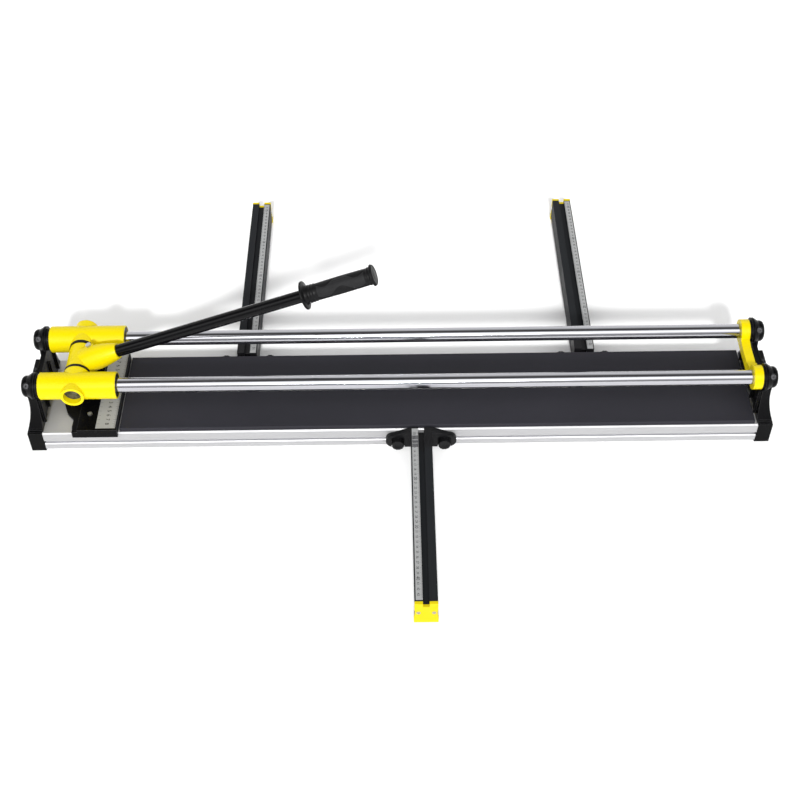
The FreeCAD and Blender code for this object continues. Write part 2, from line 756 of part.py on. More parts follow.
def wheel_holder():
    """Two cheeks under the hub that carry the scoring wheel and the breaker."""
    reach = 6.5
    cheek_outline = [
        (-16, -13),
        (-S.wheel_back - reach, -S.wheel_drop),
        (-S.wheel_back + reach, -S.wheel_drop),
        (-5, -44),
        (S.foot_ahead - reach, -S.foot_drop),
        (S.foot_ahead + reach, -S.foot_drop),
        (10, -18.5),
    ]
    outer = S.cheek_inner + S.cheek_thick
    pieces = [
        box((-14, 10), (-outer, outer), (-27, -14)),
        box((9, 40), (-7, 7), (-26, -17)),
    ]
    for start in (-S.cheek_inner, outer):
        pieces.append(extruded("XZ_Plane", cheek_outline, S.cheek_thick, (0, start, 0),
                               arcs={1: 6.6, 4: 6.6}))
    cuts = [rod("Y", S.hub_radius, 0, -outer - 1, 0, 2 * outer + 2)]
    pins = []
    for label, x, z, radius in (
        ("wheel_axle", -S.wheel_back, -S.wheel_drop, S.wheel_pin),
        ("breaker_pin", S.foot_ahead, -S.foot_drop, S.foot_pin),
    ):
        cuts.append(rod("Y", radius, x, -outer - 1, z, 2 * outer + 2))
        pins.append((label, rod("Y", radius, x, -outer, z, 2 * outer)))
    node("wheel_holder", at_pivot(cut(fuse(*pieces), *cuts)))
    for label, pin in pins:
        node(label, at_pivot(group(pin)))


def scoring_wheel():
    """Hardened disc with a sharp rim and a wider hub."""
    half = S.cheek_inner - 0.3
    profile = [
        (-half, S.wheel_pin + S.running),
        (half, S.wheel_pin + S.running),
        (half, 5),
        (1.2, 5),
        (1.2, S.wheel_radius - 1.6),
        (0, S.wheel_radius),
        (-1.2, S.wheel_radius - 1.6),
        (-1.2, 5),
        (-half, 5),
    ]
    x = -S.pivot_left - S.wheel_back
    z = S.rail_height - S.wheel_drop
    node("scoring_wheel", turned(profile, (x, 0, z), Rotation(Vector(0, 0, 1), 90)))


def breaker():
    """Foot that snaps the scored tile, hinged under the lever, with two rubber soles."""
    half = S.cheek_inner - 0.3
    sole = 2
    low = sole - S.foot_bottom
    span = (S.foot_ahead - 10, S.foot_ahead + 9)
    lug_span = (S.foot_ahead - 6, S.foot_ahead + 6)
    pieces = [
        rod("Y", 6, S.foot_ahead, -half, -S.foot_drop, 2 * half),
        box(lug_span, (-half, half), (low, -S.foot_drop)),
        box(span, (-S.foot_half, S.foot_half), (low, low + 4.5)),
    ]
    eye = rod("Y", S.foot_pin + S.running, S.foot_ahead, -half - 1, -S.foot_drop, 2 * half + 2)
    node("breaker_foot", at_pivot(cut(fuse(*pieces), eye)))
    soles = []
    for low_y, high_y in ((-S.foot_half, -6), (6, S.foot_half)):
        soles.append(box(span, (low_y, high_y), (-S.foot_bottom, low)))
    node("breaker_soles", at_pivot(group(*soles)))


# ---------------------------------------------------------------- side arms

GROOVE_LEFT = -5.15
GROOVE_RIGHT = 4.85
GROOVE_DEEP = 8.5
RULER_LEFT = -16
RULER_START = -95
CAP_SCREW_OFFSET = 11.9
CAP_SCREW_HEIGHT = 26
CROSS_LONG = 2
CROSS_WIDE = 0.5


def arm_profile(reach):
    """Black extrusion: ruler ledge, groove and wide ridge over hollow chambers."""
    ledge = S.pad_top - S.ruler_thick
    section = [
        (-S.arm_half, S.arm_bottom),
        (S.arm_half, S.arm_bottom),
        (S.arm_half, S.pad_top),
        (GROOVE_RIGHT, S.pad_top),
        (GROOVE_RIGHT, S.pad_top - GROOVE_DEEP),
        (GROOVE_LEFT, S.pad_top - GROOVE_DEEP),
        (GROOVE_LEFT, ledge),
        (-S.arm_half, ledge),
    ]
    low = S.arm_bottom + S.wall
    holes = [
        rectangle((-7.5, 7.5), (low, S.pad_top - GROOVE_DEEP - S.wall)),
        rectangle((10, S.arm_half - S.wall), (low, low + 8)),
        rectangle((S.wall - S.arm_half, -10), (low, low + 8)),
    ]
    bar = extruded("XZ_Plane", section, reach - S.arm_start, (0, -S.arm_start, 0), holes=holes)
    pilots = []
    for x in (-CAP_SCREW_OFFSET, CAP_SCREW_OFFSET):
        pilots.append(rod("Y", 1.6, x, -reach - 1, CAP_SCREW_HEIGHT, 16))
    return cut(bar, *pilots)


def arm_cap(reach):
    """Yellow end cap with a foot, notched over the groove and waisted beside its screws."""
    face = reach + S.cap_depth
    span = (-S.arm_half - 0.3, S.arm_half + 0.3)
    wide = (-S.arm_half - 1.3, S.arm_half + 1.3)
    under = (3 - S.arm_half, S.arm_half - 3)
    block = fuse(
        box(span, (-face, -reach), (S.cap_bottom, S.pad_top)),
        box(wide, (-face, -reach), (S.cap_bottom, S.arm_bottom + 4)),
        box(under, (-reach - 1, 9 - reach), (S.cap_bottom, S.arm_bottom)),
    )
    notch = (S.pad_top - GROOVE_DEEP + 0.5, S.pad_top + 1)
    cuts = [box((GROOVE_LEFT, GROOVE_RIGHT), (-face - 1, 1 - reach), notch)]
    for side in (-1, 1):
        waist = 15
        x = side * (S.arm_half + waist - 1)
        cuts.append(rod("Y", waist, x, -face - 1, CAP_SCREW_HEIGHT, S.cap_depth + 2))
        hole_x = side * CAP_SCREW_OFFSET
        cuts.append(rod("Y", 1.6, hole_x, -face - 1, CAP_SCREW_HEIGHT, S.cap_depth + 2))
        cuts.append(rod("Y", 3.2, hole_x, -face - 1, CAP_SCREW_HEIGHT, 2.6))
    return cut(block, *cuts)


def arm_screws(reach):
    """Two screws that hold the cap."""
    face = reach + S.cap_depth
    screws = []
    for x in (-CAP_SCREW_OFFSET, CAP_SCREW_OFFSET):
        head = rod("Y", 3.2, x, -face - 0.4, CAP_SCREW_HEIGHT, 2)
        shank = rod("Y", 1.6, x, -face + 1, CAP_SCREW_HEIGHT, 16)
        cross = []
        for across, upright in ((CROSS_LONG, CROSS_WIDE), (CROSS_WIDE, CROSS_LONG)):
            cross.append(box((x - across, x + across), (-face - 1, 0.6 - face),
                             (CAP_SCREW_HEIGHT - upright, CAP_SCREW_HEIGHT + upright)))
        screws.append(cut(fuse(head, shank), *cross))
    return group(*screws)


def arm_bracket(top, rise):
    """Black clamp plate with two rounded wings, and the block that holds the arm."""
    ledge = S.pad_top - S.ruler_thick
    groove_floor = S.pad_top - GROOVE_DEEP
    round_end = (top - S.bracket_bottom) / 2 + 0.03
    end = S.bracket_half - round_end + 0.18
    wings = [
        (-end, S.bracket_bottom),
        (end, S.bracket_bottom),
        (end, top),
        (S.arm_half, top + rise),
        (-S.arm_half, top + rise),
        (-end, top),
    ]
    thick = S.bracket_front - S.bracket_back
    upper = (-S.arm_start, RULER_START)
    inside = (S.arm_bottom + S.wall + 0.3, groove_floor - S.wall - 0.3)
    pieces = [
        extruded("XZ_Plane", wings, thick, (0, -S.bracket_back, 0), arcs={1: round_end, 5: round_end}),
        box((-S.arm_half, S.arm_half), (-S.arm_start, -S.bracket_back), (S.arm_bottom, groove_floor)),
        box((-S.arm_half, GROOVE_LEFT), upper, (groove_floor - 1, ledge)),
        box((GROOVE_RIGHT, S.arm_half), upper, (groove_floor - 1, S.pad_top)),
        box((-7.2, 7.2), (-S.arm_start - 30, 1 - S.arm_start), inside),
    ]
    gap = (-S.bracket_front - 0.5, 1 - S.bracket_back)
    cuts = [box((GROOVE_LEFT, GROOVE_RIGHT), gap, (33, S.pad_top))]
    for side in (-1, 1):
        x = side * S.knob_offset
        room = S.knob_radius + 0.6
        cuts.append(box((x - room, x + room), (-S.bracket_front - 1, 3.6 - S.bracket_front),
                        (S.bracket_bottom - 1, S.slot_height + room)))
        cuts.append(rod("Y", S.stud_radius + 0.4, x, -S.bracket_front - 1, S.slot_height, 20))
    return cut(fuse(*pieces), *cuts)


def slot_nuts():
    """Two nuts that ride in the side slot of the base."""
    nuts = []
    for side in (-1, 1):
        x = side * S.knob_offset
        reach = (0.4 + S.slot_lip - S.base_depth, S.slot_floor - 0.5 - S.base_depth)
        half = S.slot_channel / 2 - 0.5
        nut = box((x - 8, x + 8), reach, (S.slot_height - half, S.slot_height + half))
        hole = rod("Y", S.stud_radius + S.running, x, -S.base_depth, S.slot_height, 20)
        nuts.append(cut(nut, hole))
    return group(*nuts)


def clamp_knob(side):
    """Fluted knob moulded on its threaded stud."""
    x = side * S.knob_offset
    inner = S.bracket_front - 3.1
    head = rod("Y", S.knob_radius, x, -S.knob_front, S.slot_height, S.knob_front - inner)
    stud_end = S.base_depth - S.slot_floor + 0.8
    stud = rod("Y", S.stud_radius, x, -inner - 1, S.slot_height, inner - stud_end + 1)
    dish = rod("Y", 6, x, -S.knob_front - 1, S.slot_height, 2)
    flutes = [dish]
    count = 12
    for index in range(count):
        angle = 2 * math.pi * index / count
        dx = math.cos(angle)
        dz = math.sin(angle)
        flutes.append(rod("Y", 1.2, x + dx * (S.knob_radius + 0.5), -S.knob_front - 1,
                          S.slot_height + dz * (S.knob_radius + 0.5), 9))
    return cut(fuse(head, stud), *flutes)


def side_arm(name, along, reach, angle, bracket):
    """One arm drawn towards -Y at X = 0, then turned about Z and put in place."""
    ruler_span = (RULER_LEFT, RULER_LEFT + S.ruler_width)
    ruler = box(ruler_span, (3 - reach, RULER_START), (S.pad_top - S.ruler_thick, S.pad_top))
    pieces = {
        name + "_profile": arm_profile(reach),
        name + "_ruler": group(ruler),
        name + "_cap": arm_cap(reach),
        name + "_screws": arm_screws(reach),
        name + "_bracket": bracket,
        name + "_nuts": slot_nuts(),
        "knob_" + name + "_1": clamp_knob(-1),
        "knob_" + name + "_2": clamp_knob(1),
    }
    for label, piece in pieces.items():
        place(piece, along, 0, 0, Rotation(Vector(0, 0, 1), angle))
        node(label, piece)


# ---------------------------------------------------------------- assembly and export


def check(obj):
    """Stop on a failed feature or a bad shape."""
    if "Invalid" in obj.State or "Error" in obj.State:
        raise RuntimeError("%s failed: %s" % (obj.Label, obj.State))


def export_nodes():
    """Write every sub-part to its own file once the whole document is sound."""
    doc.recompute()
    for obj in doc.Objects:
        check(obj)
    for obj in NODES:
        if obj.Shape.isNull() or not obj.Shape.isValid():
            raise RuntimeError("%s has no valid shape" % obj.Label)
    for obj in NODES:
        obj.Shape.exportStep("parts/%s.step" % obj.Label)
        print("%-24s solids %d  volume %.0f" % (obj.Label, len(obj.Shape.Solids), obj.Shape.Volume))
    print(len(NODES), "nodes")


base_profile()
work_surface()
underside_strips()
end_supports()
rails()
stop_plate()
fence()
carriage()
lever_hub()
handle()
wheel_holder()
scoring_wheel()
breaker()
side_arm("arm_front", S.front_arm, S.front_reach, 0, arm_bracket(S.bracket_top, S.bracket_rise))
side_arm("arm_left", S.left_arm, S.back_reach, 180, arm_bracket(S.low_bracket_top, 0))
side_arm("arm_right", S.right_arm, S.back_reach, 180, arm_bracket(S.low_bracket_top, 0))
export_nodes()
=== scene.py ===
import json
import math

import bmesh
import bpy
from mathutils import Matrix, Vector


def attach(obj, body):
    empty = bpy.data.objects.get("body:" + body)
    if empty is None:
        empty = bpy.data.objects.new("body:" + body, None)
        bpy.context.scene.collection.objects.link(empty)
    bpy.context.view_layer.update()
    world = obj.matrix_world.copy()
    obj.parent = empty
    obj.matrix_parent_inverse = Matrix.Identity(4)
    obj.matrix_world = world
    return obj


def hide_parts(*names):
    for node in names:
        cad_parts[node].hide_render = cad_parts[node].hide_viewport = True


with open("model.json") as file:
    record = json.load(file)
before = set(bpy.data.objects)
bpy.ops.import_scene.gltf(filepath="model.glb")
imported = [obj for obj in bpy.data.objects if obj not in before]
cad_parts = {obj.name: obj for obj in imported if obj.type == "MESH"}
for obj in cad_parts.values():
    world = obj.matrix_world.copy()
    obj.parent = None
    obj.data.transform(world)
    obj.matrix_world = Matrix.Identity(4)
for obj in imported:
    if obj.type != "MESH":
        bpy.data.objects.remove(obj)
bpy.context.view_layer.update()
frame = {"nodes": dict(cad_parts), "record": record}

scene = bpy.context.scene
MM = 0.001

# ------------------------------------------------------------------ sizes shared with the CAD source

# All in millimetres, apart from the angles.
PAD_TOP = 49.3
FENCE_TOP = 54.5
RAIL_HEIGHT = 124.0
PIVOT_LEFT = 544.5
LEVER_ANGLE = math.radians(20.3)
# each arm's place along the base, its reach from the breaking line and its turn
ARMS = {
    "arm_front": (35.0, 448.5, 0.0),
    "arm_left": (-274.0, 527.0, math.pi),
    "arm_right": (333.0, 527.0, math.pi),
}


# ------------------------------------------------------------------ node materials


def add(tree, kind, inputs=None, **props):
    """New shader node; a socket given as an input is linked, anything else is its value."""
    made = tree.nodes.new("ShaderNode" + kind)
    for key, value in props.items():
        setattr(made, key, value)
    for key, value in (inputs or {}).items():
        if isinstance(value, bpy.types.NodeSocket):
            tree.links.new(value, made.inputs[key])
        else:
            made.inputs[key].default_value = value
    return made


def ramp(tree, factor, stops):
    """Straight colour ramp through (position, grey or colour) stops."""
    made = add(tree, "ValToRGB", {"Fac": factor})
    elements = made.color_ramp.elements
    while len(elements) < len(stops):
        elements.new(1.0)
    for element, (position, colour) in zip(elements, stops):
        element.position = position
        element.color = colour if isinstance(colour, tuple) else (colour, colour, colour, 1.0)
    return made.outputs["Color"]


def remap(tree, value, low, high, to_low, to_high):
    """Value mapped linearly from one range to another, clamped."""
    limits = {"Value": value, "From Min": low, "From Max": high, "To Min": to_low, "To Max": to_high}
    return add(tree, "MapRange", limits).outputs["Result"]


def rgb(colour, factor=1.0):
    """Colour with alpha, made lighter or darker."""
    return tuple(min(1.0, part * factor) for part in colour) + (1.0,)


# range in which nearly all of two added noises lies
NOISE_LOW = 0.7
NOISE_HIGH = 1.3
# how far the softened normal turns from the face's own on a worn, glinting edge and off it, as cosines;
# such edges are lightened partly as wear, partly as a painted highlight
EDGE_TURNED = 0.80
EDGE_FLAT = 0.98
COAT_ROUGHNESS = 0.08
GRAIN_DEPTH = 0.2


def finish(name, colour, roughness, metallic=0.0, coat=0.0, spread=0.12, patch=18.0, grain=700.0,
           depth=0.12, stretch=(1.0, 1.0, 1.0), edge_wear_and_glint=None, wear_and_glint=0.0, uneven=0.08, specular=0.5,
           radius=0.5):
    """Surface with patchy colour, uneven roughness, fine grain, softened edges and edges lightened
    partly as wear, partly as a painted highlight.
    """
    material = bpy.data.materials.new(name)
    material.use_nodes = True
    tree = material.node_tree
    shader = tree.nodes["Principled BSDF"]
    shader.inputs["Metallic"].default_value = metallic
    shader.inputs["Coat Weight"].default_value = coat
    shader.inputs["Coat Roughness"].default_value = COAT_ROUGHNESS
    shader.inputs["Specular IOR Level"].default_value = specular
    where = add(tree, "TexCoord").outputs["Object"]
    along = add(tree, "Mapping", {"Vector": where, "Scale": stretch}).outputs["Vector"]
    patches = add(tree, "TexNoise", {"Vector": where, "Scale": patch, "Detail": 5.0}).outputs["Fac"]
    fine = add(tree, "TexNoise", {"Vector": along, "Scale": grain, "Detail": 3.0}).outputs["Fac"]
    both = add(tree, "Math", {0: patches, 1: fine}, operation="ADD").outputs["Value"]
    level = remap(tree, both, NOISE_LOW, NOISE_HIGH, 0.0, 1.0)
    base = ramp(tree, level, ((0.0, rgb(colour, 1 - spread)), (1.0, rgb(colour, 1 + spread))))
    soft = add(tree, "Bevel", {"Radius": radius * MM}, samples=4).outputs["Normal"]
    # edges lightened: partly wear, partly a painted highlight
    if edge_wear_and_glint:
        face = add(tree, "NewGeometry").outputs["Normal"]
        turn = add(tree, "VectorMath", {0: soft, 1: face}, operation="DOT_PRODUCT").outputs["Value"]
        edge = remap(tree, turn, EDGE_TURNED, EDGE_FLAT, wear_and_glint, 0.0)
        rubbed_and_glinting = add(tree, "Math", {0: edge, 1: patches}, operation="MULTIPLY").outputs["Value"]
        base = add(tree, "MixRGB", {"Fac": rubbed_and_glinting, "Color1": base, "Color2": rgb(edge_wear_and_glint)}).outputs["Color"]
    tree.links.new(base, shader.inputs["Base Color"])
    rough = remap(tree, both, NOISE_LOW, NOISE_HIGH, roughness - uneven, roughness + uneven)
    tree.links.new(rough, shader.inputs["Roughness"])
    relief = {"Height": fine, "Strength": depth, "Distance": GRAIN_DEPTH * MM, "Normal": soft}
    tree.links.new(add(tree, "Bump", relief).outputs["Normal"], shader.inputs["Normal"])
    return material


# grain drawn out along one axis
ALONG_X = (0.02, 1.0, 1.0)
ALONG_Y = (1.0, 0.02, 1.0)

FINISHES = {
    "aluminium": finish("aluminium", (0.50, 0.50, 0.51), 0.42, metallic=0.35, spread=0.05,
                        patch=9.0, grain=900.0, stretch=ALONG_X, depth=0.10),
    "pad_rubber": finish("pad_rubber", (0.026, 0.0255, 0.032), 0.62, spread=0.16, patch=6.0,
                         grain=1500.0, depth=0.35, specular=0.12),
    "steel": finish("steel", (0.55, 0.55, 0.54), 0.30, metallic=1.0, spread=0.08, stretch=ALONG_Y),
    "black_casting": finish("black_casting", (0.0028, 0.0028, 0.0032), 0.24, spread=0.25, grain=900.0,
                            depth=0.10, edge_wear_and_glint=(0.22, 0.22, 0.23), wear_and_glint=0.6, radius=1.2,
                            specular=0.06),
    "chrome": finish("chrome", (0.50, 0.50, 0.53), 0.12, metallic=1.0, spread=0.02, patch=5.0,
                     grain=1200.0, stretch=ALONG_X, depth=0.0, uneven=0.03),
    "yellow_casting": finish("yellow_casting", (0.785, 0.635, 0.0012), 0.30, coat=0.04, spread=0.03,
                             patch=12.0, grain=420.0, depth=0.06, edge_wear_and_glint=(0.95, 0.83, 0.10), wear_and_glint=0.35,
                             radius=0.9, specular=0.13),
    "yellow_plastic": finish("yellow_plastic", (0.69, 0.55, 0.002), 0.36, spread=0.03, patch=20.0,
                             grain=600.0, depth=0.06, radius=0.6, specular=0.12),
    "black_plastic": finish("black_plastic", (0.007, 0.007, 0.008), 0.42, spread=0.2, grain=2200.0,
                            depth=0.25, edge_wear_and_glint=(0.05, 0.05, 0.052), wear_and_glint=0.4, specular=0.16),
    "black_rubber": finish("black_rubber", (0.006, 0.006, 0.0065), 0.42, spread=0.25, grain=1300.0,
                           depth=0.25, specular=0.14),
    "grip_panel": finish("grip_panel", (0.014, 0.014, 0.015), 0.55, spread=0.3, patch=60.0,
                         grain=1300.0, depth=0.4, specular=0.2),
    "zinc_screw": finish("zinc_screw", (0.55, 0.55, 0.55), 0.32, metallic=0.9, spread=0.15,
                         patch=150.0, radius=0.3),
    "dark_screw": finish("dark_screw", (0.05, 0.05, 0.053), 0.25, metallic=0.9, spread=0.3,
                         patch=200.0, radius=0.3),
    "white_screw": finish("white_screw", (0.42, 0.40, 0.35), 0.40, metallic=0.3, spread=0.25,
                          patch=350.0, radius=0.3),
    "ruler": finish("ruler", (0.385, 0.39, 0.39), 0.5, metallic=0.15, spread=0.06, stretch=ALONG_Y,
                    radius=0.2, specular=0.3),
    "bronze": finish("bronze", (0.45, 0.28, 0.12), 0.38, metallic=1.0),
    "black_tube": finish("black_tube", (0.0025, 0.0025, 0.003), 0.20, spread=0.2, patch=30.0,
                         grain=260.0, depth=0.02, radius=0.4, specular=0.16),
    "black_profile": finish("black_profile", (0.017, 0.0185, 0.0205), 0.5, spread=0.12,
                            stretch=ALONG_Y, grain=1000.0, depth=0.12, edge_wear_and_glint=(0.09, 0.09, 0.10),
                            wear_and_glint=0.5, radius=0.4, specular=0.05),
    "plug": finish("plug", (0.085, 0.085, 0.06), 0.5, metallic=0.2, spread=0.75, patch=140.0,
                   grain=500.0, specular=0.2, radius=0.2),
    "hard_steel": finish("hard_steel", (0.35, 0.35, 0.36), 0.25, metallic=1.0),
}
INK = finish("ink", (0.010, 0.010, 0.012), 0.5, spread=0.3, patch=80.0, radius=0.01, specular=0.2)
BAND = finish("band", (0.11, 0.11, 0.115), 0.5, spread=0.4, patch=160.0, radius=0.01, specular=0.2)

# half width beyond which lies a side face, and height above which lies the deck
SIDE_FACE = 89.9
DECK_EDGE = 39.8
# painted shade: the base's side faces darkened for the light falling on them
PAINTED_SIDE_SHADE = (0.84, 0.84, 0.84)
# painted light: a brighter colour inside the base's side slots, where little light reaches
PAINTED_SLOT_LIGHT = (0.70, 0.70, 0.72)


def shade_base(material):
    """Painted shade on the extrusion's side faces and painted light inside its side slots."""
    tree = material.node_tree
    colour = tree.nodes["Principled BSDF"].inputs["Base Color"]
    place = add(tree, "SeparateXYZ", {"Vector": add(tree, "TexCoord").outputs["Object"]}).outputs
    width = add(tree, "Math", {0: place["Y"]}, operation="ABSOLUTE").outputs["Value"]
    outside = {0: width, 1: SIDE_FACE * MM}
    side = add(tree, "Math", outside, operation="GREATER_THAN").outputs["Value"]
    above = {0: place["Z"], 1: DECK_EDGE * MM}
    deck = add(tree, "Math", above, operation="GREATER_THAN").outputs["Value"]
    either = add(tree, "Math", {0: side, 1: deck}, operation="ADD").outputs["Value"]
    slot = add(tree, "Math", {0: either, 1: 0.5}, operation="LESS_THAN").outputs["Value"]
    plain = colour.links[0].from_socket
    # painted shade: the side faces darkened
    painted_side_shade_mix = {"Fac": side, "Color1": plain, "Color2": rgb(PAINTED_SIDE_SHADE)}
    face = add(tree, "MixRGB", painted_side_shade_mix, blend_type="MULTIPLY").outputs["Color"]
    # painted light: the slot insides brightened
    painted_slot_light_mix = {"Fac": slot, "Color1": face, "Color2": rgb(PAINTED_SLOT_LIGHT)}
    tree.links.new(add(tree, "MixRGB", painted_slot_light_mix).outputs["Color"], colour)


# painted shade on the base's side faces and painted light in its slots
shade_base(FINISHES["aluminium"])

# pieces that look different from the rest of their material
OWN_FINISH = {"boss_plugs": "plug", "lug_screws": "dark_screw", "stop_plate": "yellow_casting"}

for row in frame["record"]["subparts"]:
    shown = frame["nodes"][row["node"]]
    shown.data.materials.clear()
    shown.data.materials.append(FINISHES[OWN_FINISH.get(row["node"], row["material_slot"])])


# ------------------------------------------------------------------ mesh helpers


def settle(name, mesh, material, body):
    """Object made from a finished mesh, riding on a body."""
    made = bpy.data.objects.new(name, mesh)
    scene.collection.objects.link(made)
    mesh.materials.append(material)
    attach(made, body)
    return made


def smooth(mesh, angle):
    """Smooth shading that keeps edges sharper than the angle, in degrees, crisp."""
    mesh.shade_smooth()
    mesh.set_sharp_from_angle(angle=math.radians(angle))


def block(work, x, y, z):
    """Closed box between spans, in millimetres, added to a bmesh."""
    spans = Matrix.Diagonal((x[1] - x[0], y[1] - y[0], z[1] - z[0], 1.0))
    middle = Vector(((x[0] + x[1]) / 2, (y[0] + y[1]) / 2, (z[0] + z[1]) / 2))
    bmesh.ops.create_cube(work, size=1.0, matrix=Matrix.Translation(middle) @ spans)


# size of the built-in font against the height of its figures
FONT_SCALE = 1.4


def glyphs(height, thick):
    """Meshes of the ten figures, centred, lying in XY with a little thickness."""
    made = []
    for figure in range(10):
        curve = bpy.data.curves.new("figure", "FONT")
        curve.body = str(figure)
        curve.size = height * FONT_SCALE
        curve.extrude = thick / 2
        curve.resolution_u = 3
        curve.align_x = "CENTER"
        curve.align_y = "CENTER"
        holder = bpy.data.objects.new("figure", curve)
        made.append(bpy.data.meshes.new_from_object(holder))
        bpy.data.objects.remove(holder)
    return made


INK_THICK = 0.06
FIGURE_HEIGHT = 3.4
FIGURE_STEP = 2.3
FIGURE_TURN = -math.pi / 2
FIGURES = glyphs(FIGURE_HEIGHT, INK_THICK)


def number(work, value, where, turn, size):
    """Figures of a number, placed and turned in the plane, added to a bmesh."""
    text = str(value)
    step = FIGURE_STEP * size
    for index, figure in enumerate(text):
        shift = (index - (len(text) - 1) / 2) * step
        matrix = Matrix.Translation(where) @ Matrix.Rotation(turn, 4, "Z")
        matrix = matrix @ Matrix.Translation((shift, 0, 0)) @ Matrix.Scale(size, 4)
        copy = FIGURES[int(figure)].copy()
        copy.transform(matrix)
        work.from_mesh(copy)
        bpy.data.meshes.remove(copy)


def printed(name, work, matrix, body, material=INK):
    """Printed marks: a bmesh drawn in millimetres, put in place as its own piece."""
    mesh = bpy.data.meshes.new(name)
    work.to_mesh(mesh)
    work.free()
    mesh.transform(matrix @ Matrix.Scale(MM, 4))
    settle(name, mesh, material, body)


# ------------------------------------------------------------------ rulers


def tick(mark, lengths, widths):
    """Length and width of a millimetre mark: whole centimetres, half ones, the rest."""
    if mark % 10 == 0:
        return lengths[0], widths[0]
    return lengths[1] if mark % 5 == 0 else lengths[2], widths[1]


# an arm's ruler: its edges, its zero's distance from the breaking line, its first mark
RULER_EDGES = (-16.0, -5.4)
RULER_ZERO = 5.7
RULER_FIRST = 95
RULER_END_GAP = 5
RULER_TICKS = ((3.2, 2.4, 1.5), (0.26, 0.15))
TICK_INSET = 0.2
FIGURE_INSET = 3.9
PLAIN_SIZE = 1.2
BOLD_SIZE = 1.6


def arm_ruler(name, along, reach, turn):
    """Millimetre marks and centimetre figures on one arm's ruler."""
    work = bmesh.new()
    left, right = RULER_EDGES
    top = (PAD_TOP, PAD_TOP + INK_THICK)
    for mark in range(RULER_FIRST, int(reach - RULER_ZERO) - RULER_END_GAP):
        y = -RULER_ZERO - mark
        long, wide = tick(mark, *RULER_TICKS)
        start = right - TICK_INSET
        block(work, (start - long, start), (y - wide / 2, y + wide / 2), top)
        if mark % 10 == 0:
            place = (left + FIGURE_INSET, y, PAD_TOP + INK_THICK / 2)
            size = BOLD_SIZE if mark % 100 == 0 else PLAIN_SIZE
            number(work, mark // 10, place, FIGURE_TURN, size)
    matrix = Matrix.Translation((along * MM, 0, 0)) @ Matrix.Rotation(turn, 4, "Z")
    printed(name + "_marks", work, matrix, name)


for arm, (along, reach, turn) in ARMS.items():
    arm_ruler(arm, along, reach, turn)


# (where a strip starts, its length) along the arm
BAND_STRIPS = ((-111.0, 9.0), (-121.5, 6.0), (-129.0, 8.0))
BAND_INSET = 0.3


def front_band():
    """Plain grey strips across the front arm's ruler."""
    work = bmesh.new()
    left, right = RULER_EDGES
    top = (PAD_TOP, PAD_TOP + INK_THICK / 2)
    for start, length in BAND_STRIPS:
        block(work, (left + BAND_INSET, right - BAND_INSET), (start - length, start), top)
    matrix = Matrix.Translation((ARMS["arm_front"][0] * MM, 0, 0))
    printed("arm_front_band", work, matrix, "arm_front", BAND)


front_band()

FENCE_STRIP = (-517.3, -484.0)
FENCE_REACH = 88
FENCE_TICKS = ((5.0, 3.6, 2.2), (0.32, 0.2))
FENCE_INSET = 0.4
FENCE_FIGURES = (FENCE_STRIP[0] + FENCE_STRIP[1]) / 2 + 1.5
FENCE_SIZE = 2.0


def fence_ruler():
    """Marks along both edges and figures, counted both ways from the breaking line."""
    work = bmesh.new()
    left, right = FENCE_STRIP
    top = (FENCE_TOP, FENCE_TOP + INK_THICK)
    for mark in range(-FENCE_REACH, FENCE_REACH + 1):
        long, wide = tick(mark, *FENCE_TICKS)
        span = (mark - wide / 2, mark + wide / 2)
        block(work, (right - FENCE_INSET - long, right - FENCE_INSET), span, top)
        if mark % 10 == 0:
            block(work, (left + FENCE_INSET, left + FENCE_INSET + long), span, top)
            place = (FENCE_FIGURES, mark, FENCE_TOP + INK_THICK / 2)
            number(work, abs(mark) // 10, place, FIGURE_TURN, FENCE_SIZE)
    printed("fence_marks", work, Matrix.Identity(4), "base")


fence_ruler()


# ------------------------------------------------------------------ handle grip


def to_lever(mesh):
    """Take a mesh drawn in millimetres along +X from the pivot to its place."""
    place = Matrix.Translation((-PIVOT_LEFT * MM, 0, RAIL_HEIGHT * MM))
    mesh.transform(place @ Matrix.Rotation(-LEVER_ANGLE, 4, "Y") @ Matrix.Scale(MM, 4))


def lathe(work, rows, sides, relief):
    """Surface of revolution about X through (x, radius) rows, with relief and with open ends."""
    rings = []
    for x, radius in rows:
        ring = []
        for index in range(sides):
            angle = 2 * math.pi * index / sides
            raised = radius + relief(x, angle)
            ring.append(work.verts.new((x, raised * math.cos(angle), raised * math.sin(angle))))
        rings.append(ring)
    for first, second in zip(rings, rings[1:]):
        for index in range(sides):
            after = (index + 1) % sides
            work.faces.new((first[index], first[after], second[after], second[index]))
    return rings


GRIP_START = 415.5
GRIP_END = 539.5
GRIP_SIDES = 144
TUBE_RADIUS = 10.5

# flange and ringed neck: (distance from the grip's start, radius)
NECK_ROWS = (
    (3.0, TUBE_RADIUS + 0.02), (1.2, 13.0), (0.6, 19.0), (0.0, 22.4), (0.5, 23.6),
    (1.7, 24.0), (3.0, 23.7), (3.7, 22.6), (3.9, 19.0), (4.6, 17.0),
    (5.6, 15.9), (6.8, 15.8), (7.8, 15.6), (8.6, 14.7), (9.6, 14.6),
    (10.6, 15.3), (12.0, 15.3), (13.0, 14.5), (14.2, 14.4), (15.2, 15.1),
    (16.6, 15.1), (17.6, 14.3), (18.8, 14.3), (19.8, 14.9), (21.2, 14.9),
    (22.2, 14.4),
)
